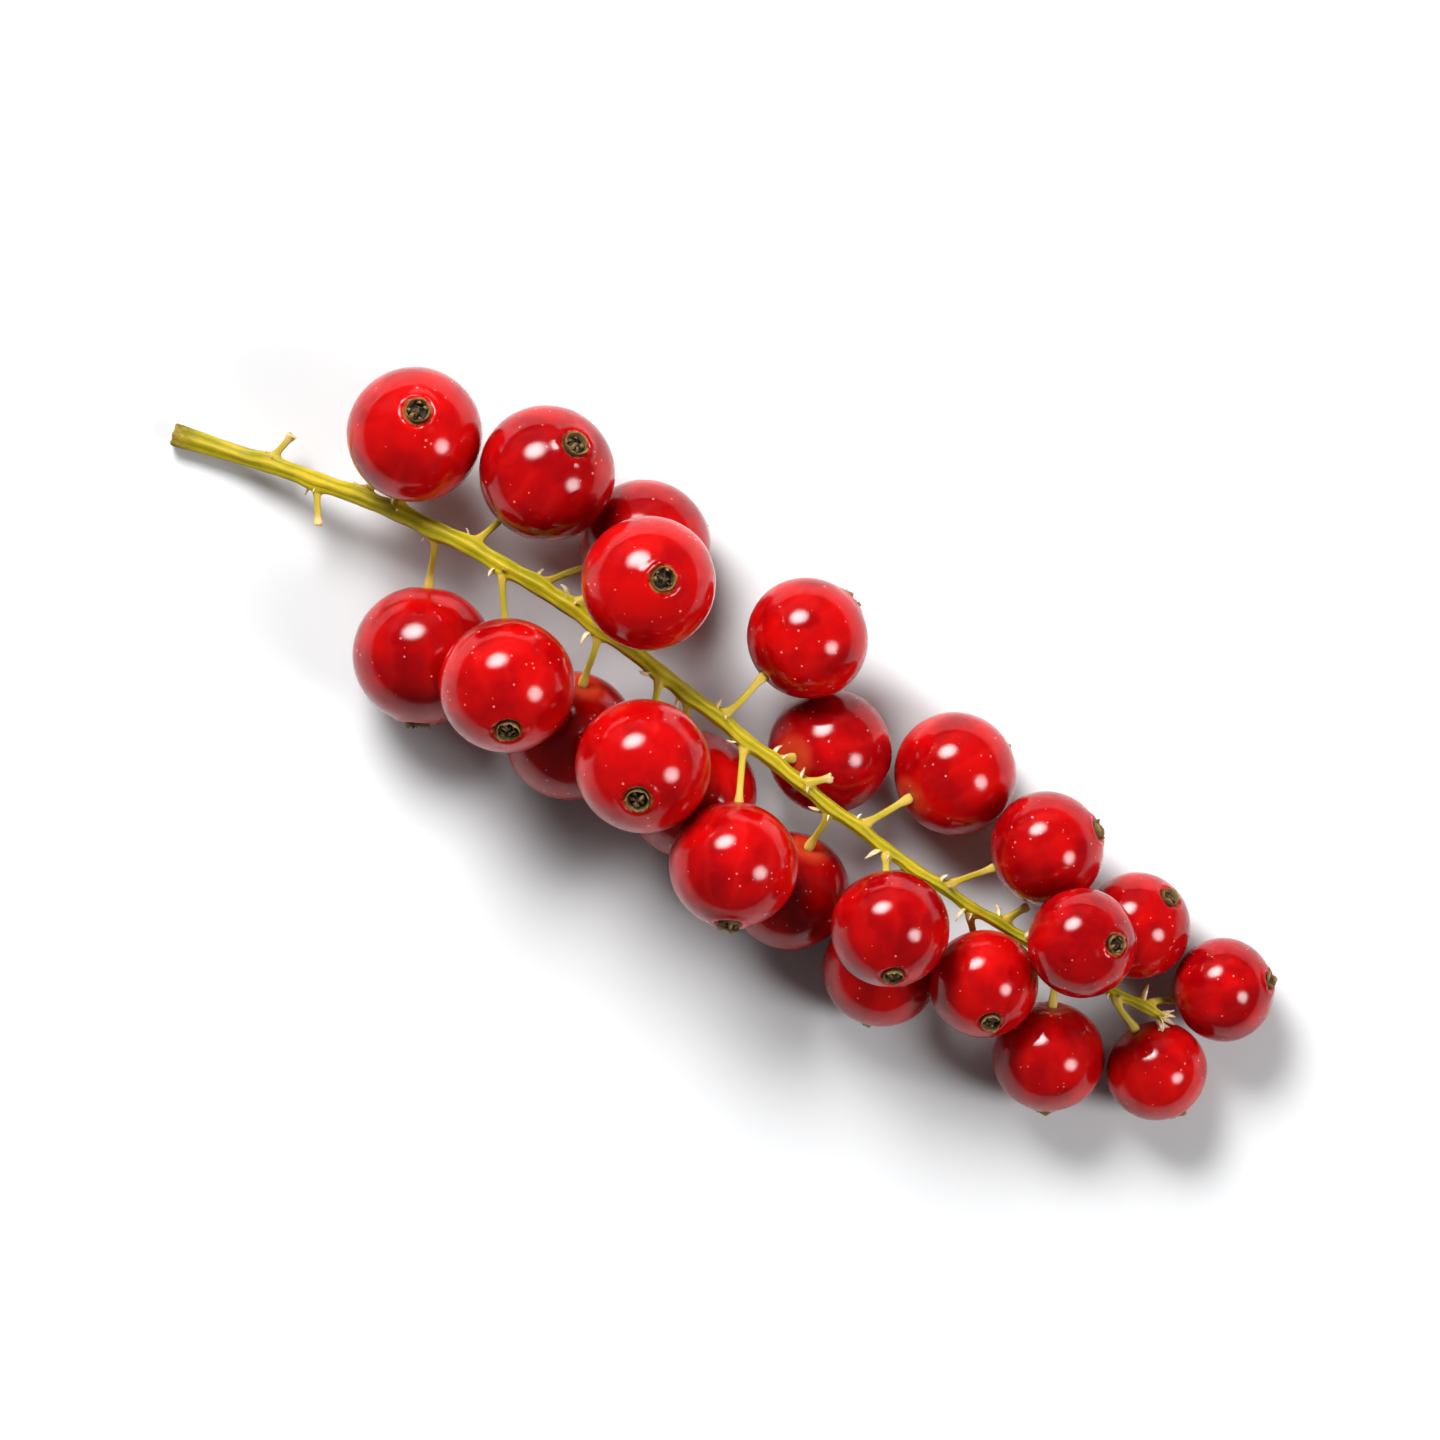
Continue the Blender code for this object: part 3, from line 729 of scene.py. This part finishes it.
SCALE_LENGTH = (0.7, 1.5)
SCALE_HALF_WIDTH = 0.25
SCALE_HALF_THICK = 0.032
SCALE_CURLS = ((-0.8, 3), (0.5, 8), (1.3, 15))
SCALE_BELOW = 0.42 * MM
SCALE_ROOTED = 0.80
PAIR_LOST = 0.55
PAIR_ABOVE = 0.25 * MM
TIP_SCALES = 7
PAPER_TAN = (0.60, 0.37, 0.18, 1.0)
PAPER_CREAM = (0.86, 0.64, 0.42, 1.0)
SCALE_FOOT_GREEN = (0.56, 0.46, 0.10, 1.0)
SCALE_POINT_BROWN = (0.26, 0.11, 0.045, 1.0)


def scale_form(w, size, sides, steps, cup, curl, crumple, seed):
    """A closed pointed scale, one long, that stands on the origin along +Z and curls towards +Y.
    size is its half width and half thickness, as shares of its length."""
    cone = {"Vertices": sides, "Side Segments": steps, "Radius Top": 0.0, "Radius Bottom": 1.0, "Depth": 1.0}
    cone = w.add("GeometryNodeMeshCone", cone)
    spot = w.add("ShaderNodeSeparateXYZ", (w.add("GeometryNodeInputPosition"),))
    x, y, u = (spot.node.outputs[axis] for axis in "XYZ")
    round_off = w.sum("SQRT", w.sum("ADD", w.sum("MULTIPLY", x, x), w.sum("MULTIPLY", y, y)))
    x, y = w.sum("DIVIDE", x, round_off), w.sum("DIVIDE", y, round_off)
    left = w.sum("SUBTRACT", 1.0, u)
    outline = w.sum("MULTIPLY", w.sum("POWER", left, 0.8), w.sum("ADD", w.sum("MULTIPLY", u, 0.9), 1.0))
    across = w.sum("MULTIPLY", w.sum("MULTIPLY", x, outline), size[0])
    thinned = w.sum("ADD", w.sum("MULTIPLY", left, 0.8), 0.2)
    through = w.sum("MULTIPLY", w.sum("MULTIPLY", y, thinned), size[1])
    through = w.sum("ADD", through, w.sum("MULTIPLY", w.sum("MULTIPLY", x, across), cup))
    bend = w.sum("MULTIPLY", u, curl)
    bent_y = w.sum("DIVIDE", w.sum("SUBTRACT", 1.0, w.sum("COSINE", bend)), curl)
    bent_z = w.sum("DIVIDE", w.sum("SINE", bend), curl)
    bent_y = w.sum("ADD", bent_y, w.sum("MULTIPLY", through, w.sum("COSINE", bend)))
    bent_z = w.sum("SUBTRACT", bent_z, w.sum("MULTIPLY", through, w.sum("SINE", bend)))
    place = w.add("ShaderNodeCombineXYZ", (across, bent_y, bent_z))
    shifted = w.vector("ADD", place, w.add("ShaderNodeCombineXYZ", (float(seed), 0.0, 0.0)))
    crease = w.add("ShaderNodeTexNoise", {"Vector": shifted, "Scale": 4.0, "Detail": 1.0}, out="Color")
    crease = w.vector("SCALE", w.vector("SUBTRACT", crease, (0.5, 0.5, 0.5)), None, None, crumple)
    crease = w.vector("SCALE", crease, None, None, u)
    form = w.store(cone, "reach", u)
    return w.add("GeometryNodeSetPosition", {"Geometry": form, "Position": w.vector("ADD", place, crease)})


def scales_tree(finish):
    """One of three scale forms at every start point, turned along its own aim and drawn to its own length."""
    sizes = {"Half width": SCALE_HALF_WIDTH, "Half thickness": SCALE_HALF_THICK}
    tree, w, given = shape_tree("scale_leaves", sizes)
    size = (given["Half width"], given["Half thickness"])
    join = w.tree.nodes.new("GeometryNodeGeometryToInstance")
    for curl, seed in SCALE_CURLS:
        form = scale_form(w, size, sides=8, steps=7, cup=0.9, curl=curl, crumple=0.16, seed=seed)
        w.tree.links.new(form, join.inputs[0])
    one = {"Points": given["Geometry"], "Instance": join.outputs[0], "Pick Instance": True}
    one["Instance Index"] = w.fact("form", "INT")
    one["Rotation"] = w.facing(w.fact("aim", "FLOAT_VECTOR"), w.fact("back", "FLOAT_VECTOR"))
    one["Scale"] = w.fact("stretch", "FLOAT_VECTOR")
    real = w.add("GeometryNodeRealizeInstances", (w.add("GeometryNodeInstanceOnPoints", one),))
    real = w.add("GeometryNodeTransform", {"Geometry": real, "Scale": (MM, MM, MM)})
    w.close(w.add("GeometryNodeSetShadeSmooth", (real,)), finish)
    return tree


def scale_finish():
    """Papery skin: pale pinkish tan, green-yellow at the foot and browner at the point."""
    finish, w, shader = new_finish("scale_paper")
    reach = w.add("ShaderNodeAttribute", attribute_name="reach", out="Fac")
    where = w.vector("SCALE", w.add("ShaderNodeTexCoord", out="Object"), None, None, 1 / MM)
    vein = w.add("ShaderNodeTexNoise", {"Vector": where, "Scale": 2.6, "Detail": 3.0, "Roughness": 0.6})
    paper = w.blend(w.ease(vein, 0.35, 0.65), PAPER_TAN, PAPER_CREAM)
    colour = w.blend(w.ease(reach, 0.40, 0.02), paper, SCALE_FOOT_GREEN)
    colour = w.blend(w.ease(reach, 0.75, 1.0, 0.0, 0.55), colour, SCALE_POINT_BROWN)
    bump = w.add("ShaderNodeBump", {"Height": vein, "Strength": 0.5, "Distance": 0.08 * MM})
    rough = w.ease(vein, 0.3, 0.7, 0.50, 0.72)
    w.give(shader, {"Base Color": colour, "Roughness": rough, "Normal": bump, "Subsurface Weight": 0.5})
    w.give(shader, {"Subsurface Radius": (1.0, 0.6, 0.3), "Subsurface Scale": 0.25 * MM})
    return finish


def add_scale(skeleton, number, root, aim, back, length, width):
    skeleton.add(
        root,
        False,
        aim=aim.normalized(),
        back=back.normalized(),
        form=float(number % 3),
        stretch=Vector((width, 1.0, 1.0)) * length,
    )


scale_points = Skeleton()
for number, shoot in enumerate(shoots):
    skin = stalk_radius(shoot.t) * SCALE_ROOTED
    span = SCALE_LENGTH[1] - SCALE_LENGTH[0]
    length = SCALE_LENGTH[0] + span * steady_noise(number, 5) ** 1.5
    side = shoot.along.cross(shoot.across)
    sway = side * (steady_noise(number, 6) - 0.5)
    root = shoot.root + shoot.across * skin - shoot.along * SCALE_BELOW
    aim = shoot.across - shoot.along * (0.15 + 0.5 * steady_noise(number, 7)) + sway * 0.7
    add_scale(scale_points, number, root, aim, shoot.along, length, 0.8 + 0.4 * steady_noise(number, 8))
    # A pair of thinner ones beside the side stalk's foot, often lost.
    for turn in (-1, 1):
        if steady_noise(number, 9 + turn) > PAIR_LOST:
            root = shoot.root + (shoot.across * 0.8 + side * turn * 0.45) * skin + shoot.along * PAIR_ABOVE
            aim = shoot.across * 0.7 + side * turn + shoot.along * 0.4
            add_scale(scale_points, number + turn, root, aim, shoot.across, 0.45 + 0.4 * length, 0.42)
tip_along, tip_side, tip_top = stalk_axes(1.0)
for number in range(TIP_SCALES):
    turn = number * SPIRAL_TURN
    out = tip_side * math.cos(turn) + tip_top * math.sin(turn)
    root = stalk_point(1.0) - tip_along * 0.25 * MM + out * TIP_RADIUS * 0.5
    aim = tip_along + out * (0.25 + 0.5 * steady_noise(number, 11))
    add_scale(scale_points, number, root, aim, out, 0.8 + 0.7 * steady_noise(number, 12), 0.75)

scale_leaves = grown("scale_leaves", scales_tree(scale_finish()), {}, scale_points.mesh("scale_leaf_feet"))
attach(scale_leaves, "root")

# ---------------------------------------------------------------- dried flowers
# The withered flower stays in the pit at each berry's far end, dry and loose enough to rub off. It is a
# ragged papery collar round the rim, five shrivelled sepals folded in over it, dry threads between them,
# and a dark crumpled floor with the stub of the style, painted darker still towards the floor as shade.

COLLAR_RADIUS = 0.158
COLLAR_FOOT = 0.870
COLLAR_HEIGHT = 0.135
COLLAR_WALL = 0.009
COLLAR_LEAN = 0.10
COLLAR_WAVE = 0.45
TEETH_DEPTH = 0.16
FLOOR_RADIUS = 0.160
FLOOR_HEIGHT = 0.855
FLOOR_THICK = 0.022
FLOOR_CRUMPLE = 0.055
FLOOR_SINK = 0.026
OPENNESS = (-0.6, 1.0)
SEPALS = 5
THREADS = 22
STUBS = 2
FLOWER_SEED = 7
PIT_SHADE_BLACK = (0.016, 0.008, 0.003, 1.0)
PETAL_BROWN = (0.095, 0.052, 0.011, 1.0)
TORN_EDGE_TAN = (0.36, 0.20, 0.05, 1.0)
MOTTLE_TAN = (0.34, 0.22, 0.06, 1.0)


def flower_tree(finish):
    """Floor, collar, sepals, threads and stub in the berry's own shares, then drawn to its radius."""
    sizes = {"Radius": 4.5 * MM, "Seed": 1, "Own": 0.0, "Openness": 0.3}
    tree, w, given = shape_tree("dried_flower", sizes)
    own = w.add("ShaderNodeCombineXYZ", (given["Own"], w.sum("MULTIPLY", given["Own"], 2.3), 0.0))
    position = w.add("GeometryNodeInputPosition")
    rough = w.vector("ADD", position, own)
    parts = w.tree.nodes.new("GeometryNodeJoinGeometry")

    def chance(low, high, salt):
        """A random number for each instance, steady for this flower."""
        limits = {"Min": low, "Max": high, "Seed": w.sum("ADD", given["Seed"], float(salt * 101))}
        return w.add("FunctionNodeRandomValue", limits, out=1, data_type="FLOAT")

    def raised(height):
        """A step of this height along the flower's axis."""
        return w.add("ShaderNodeCombineXYZ", (0.0, 0.0, height))

    # The floor: a low crumpled dome.
    floor = w.add("GeometryNodeMeshUVSphere", {"Segments": 28, "Rings": 14, "Radius": 1.0})
    crumple = w.add("ShaderNodeTexNoise", {"Vector": rough, "Scale": 3.5, "Detail": 3.0})
    squash = w.vector("MULTIPLY", position, (FLOOR_RADIUS, FLOOR_RADIUS, FLOOR_THICK))
    lift = raised(w.sum("ADD", w.sum("MULTIPLY", crumple, FLOOR_CRUMPLE), FLOOR_HEIGHT - FLOOR_SINK))
    floor = w.add("GeometryNodeSetPosition", {"Geometry": floor, "Position": w.vector("ADD", squash, lift)})
    w.tree.links.new(floor, parts.inputs[0])

    # The collar: a thin wall that leans out to the skin, its edge torn into teeth.
    path = w.add("GeometryNodeCurvePrimitiveCircle", {"Resolution": 60, "Radius": COLLAR_RADIUS})
    wall = w.add("GeometryNodeCurvePrimitiveCircle", {"Resolution": 10, "Radius": 1.0})
    spot = w.add("ShaderNodeSeparateXYZ", (position,))
    x, y, z = (spot.node.outputs[axis] for axis in "XYZ")
    wall_place = w.vector("MULTIPLY", position, (COLLAR_WALL, COLLAR_HEIGHT / 2, 0.0))
    wall = w.add("GeometryNodeSetPosition", {"Geometry": wall, "Position": wall_place})
    collar = w.add("GeometryNodeCurveToMesh", {"Curve": path, "Profile Curve": wall})
    rise = w.ease(w.sum("ABSOLUTE", z), 0.0, COLLAR_HEIGHT / 2)
    rise = w.sum("MULTIPLY", rise, w.sum("SIGN", z))
    flat = w.add("ShaderNodeCombineXYZ", (x, y, 0.0))
    around = w.vector("ADD", flat, own)
    teeth = w.add("ShaderNodeTexNoise", {"Vector": around, "Scale": 17.0, "Detail": 2.0})
    big = w.add("ShaderNodeTexNoise", {"Vector": around, "Scale": 5.0, "Detail": 1.0})
    torn = w.sum("ADD", w.sum("MULTIPLY", w.sum("SUBTRACT", teeth, 0.5), 0.9), w.sum("SUBTRACT", big, 0.45))
    upper = w.sum("MAXIMUM", rise, 0.0)
    height = w.sum("ADD", z, w.sum("MULTIPLY", w.sum("MULTIPLY", torn, upper), TEETH_DEPTH))
    lean = w.sum("ADD", w.sum("MULTIPLY", rise, COLLAR_LEAN), 1.0)
    wave = w.sum("MULTIPLY", w.sum("SUBTRACT", big, 0.5), upper)
    lean = w.sum("ADD", lean, w.sum("MULTIPLY", wave, COLLAR_WAVE))
    lift = raised(w.sum("ADD", height, COLLAR_FOOT + COLLAR_HEIGHT / 2))
    bowed = w.vector("ADD", w.vector("SCALE", flat, None, None, lean), lift)
    collar = w.add("GeometryNodeSetPosition", {"Geometry": collar, "Position": bowed})
    w.tree.links.new(collar, parts.inputs[0])

    def ring_of(form, count, salt, radius, height, out, length, phase):
        """count copies of a form round the axis, each leaning out by out and turned by up to phase."""
        points = w.add("GeometryNodeMeshLine", {"Count": count})
        turn = w.sum("MULTIPLY", w.add("GeometryNodeInputIndex"), 2 * math.pi / count)
        turn = w.sum("ADD", turn, w.sum("ADD", chance(-phase, phase, salt), given["Own"]))
        away = w.add("ShaderNodeCombineXYZ", (w.sum("COSINE", turn), w.sum("SINE", turn), 0.0))
        place = w.vector("SCALE", away, None, None, chance(*radius, salt + 1))
        place = w.vector("ADD", place, raised(height))
        points = w.add("GeometryNodeSetPosition", {"Geometry": points, "Position": place})
        tilt = w.sum("ADD", chance(*out, salt + 2), w.sum("MULTIPLY", given["Openness"], 0.5))
        skew = w.add("ShaderNodeCombineXYZ", (chance(-0.3, 0.3, salt + 3), chance(-0.3, 0.3, salt + 4), 1.0))
        aim = w.vector("ADD", skew, w.vector("SCALE", away, None, None, tilt))
        facing = w.facing(aim, w.vector("SCALE", away, None, None, -1.0))
        size = w.add("ShaderNodeCombineXYZ", (chance(0.7, 1.2, salt + 5), 1.0, 1.0))
        size = w.vector("SCALE", size, None, None, chance(*length, salt + 6))
        made = {"Points": points, "Instance": form, "Rotation": facing, "Scale": size}
        made = w.add("GeometryNodeRealizeInstances", (w.add("GeometryNodeInstanceOnPoints", made),))
        w.tree.links.new(made, parts.inputs[0])

    sepal = scale_form(w, (0.30, 0.042), sides=10, steps=9, cup=0.7, curl=2.0, crumple=0.30, seed=21)
    thread = scale_form(w, (0.060, 0.055), sides=5, steps=6, cup=0.0, curl=1.5, crumple=0.40, seed=33)
    stub = scale_form(w, (0.15, 0.13), sides=7, steps=6, cup=0.0, curl=0.6, crumple=0.25, seed=41)
    ring_of(sepal, SEPALS, 10, (0.135, 0.150), 0.900, (0.0, 0.6), (0.11, 0.20), 0.35)
    ring_of(thread, THREADS, 20, (0.02, 0.13), 0.868, (-0.5, 0.6), (0.12, 0.20), 1.5)
    ring_of(stub, STUBS, 30, (0.0, 0.02), 0.862, (-0.3, 0.3), (0.12, 0.17), 1.5)

    whole = parts.outputs[0]
    whole = w.store(whole, "level", w.sum("DIVIDE", w.sum("SUBTRACT", z, FLOOR_HEIGHT), 0.2))
    whole = w.store(whole, "spread", rough, "FLOAT_VECTOR")
    grown_to = w.vector("SCALE", position, None, None, given["Radius"])
    whole = w.add("GeometryNodeSetPosition", {"Geometry": whole, "Position": grown_to})
    w.close(w.add("GeometryNodeSetShadeSmooth", (whole,)), finish)
    return tree


def flower_finish():
    """Dead petal: brown, painted near black towards the pit floor as shade, and golden tan along the torn
    upper edges.
    """
    finish, w, shader = new_finish("dried_flower_paper")
    level = w.add("ShaderNodeAttribute", attribute_name="level", out="Fac")
    spread = w.add("ShaderNodeAttribute", attribute_name="spread", out="Vector")
    mottle = w.add("ShaderNodeTexNoise", {"Vector": spread, "Scale": 13.0, "Detail": 4.0, "Roughness": 0.65})
    fine = w.add("ShaderNodeTexNoise", {"Vector": spread, "Scale": 42.0, "Detail": 3.0, "Roughness": 0.6})
    height = w.sum("ADD", level, w.sum("MULTIPLY", w.sum("SUBTRACT", mottle, 0.5), 0.7))
    # Painted shade: the dark brown tissue is blended to near black towards the pit floor, as a hollow's
    # shade.
    colour = w.blend(w.ease(height, 0.05, 0.45), PIT_SHADE_BLACK, PETAL_BROWN)
    colour = w.blend(w.ease(height, 0.58, 1.15), colour, TORN_EDGE_TAN)
    colour = w.blend(w.ease(fine, 0.58, 0.72, 0.0, 0.5), colour, MOTTLE_TAN)
    bump = w.add("ShaderNodeBump", {"Height": fine, "Strength": 0.7, "Distance": 0.08 * MM})
    rough = w.ease(mottle, 0.3, 0.7, 0.55, 0.9)
    w.give(shader, {"Base Color": colour, "Roughness": rough, "Normal": bump})
    return finish


flower_shape = flower_tree(flower_finish())
for number, (centre, radius, axis) in berries.items():
    sizes = {"Radius": radius, "Seed": FLOWER_SEED * number, "Own": 0.9 * number}
    sizes["Openness"] = OPENNESS[0] + (OPENNESS[1] - OPENNESS[0]) * steady_noise(number, 4)
    flower = grown(f"withered_flower_{number:02d}", flower_shape, sizes, place=upright_at(centre, axis))
    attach(flower, "root")
    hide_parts(f"dried_flower_{number:02d}")
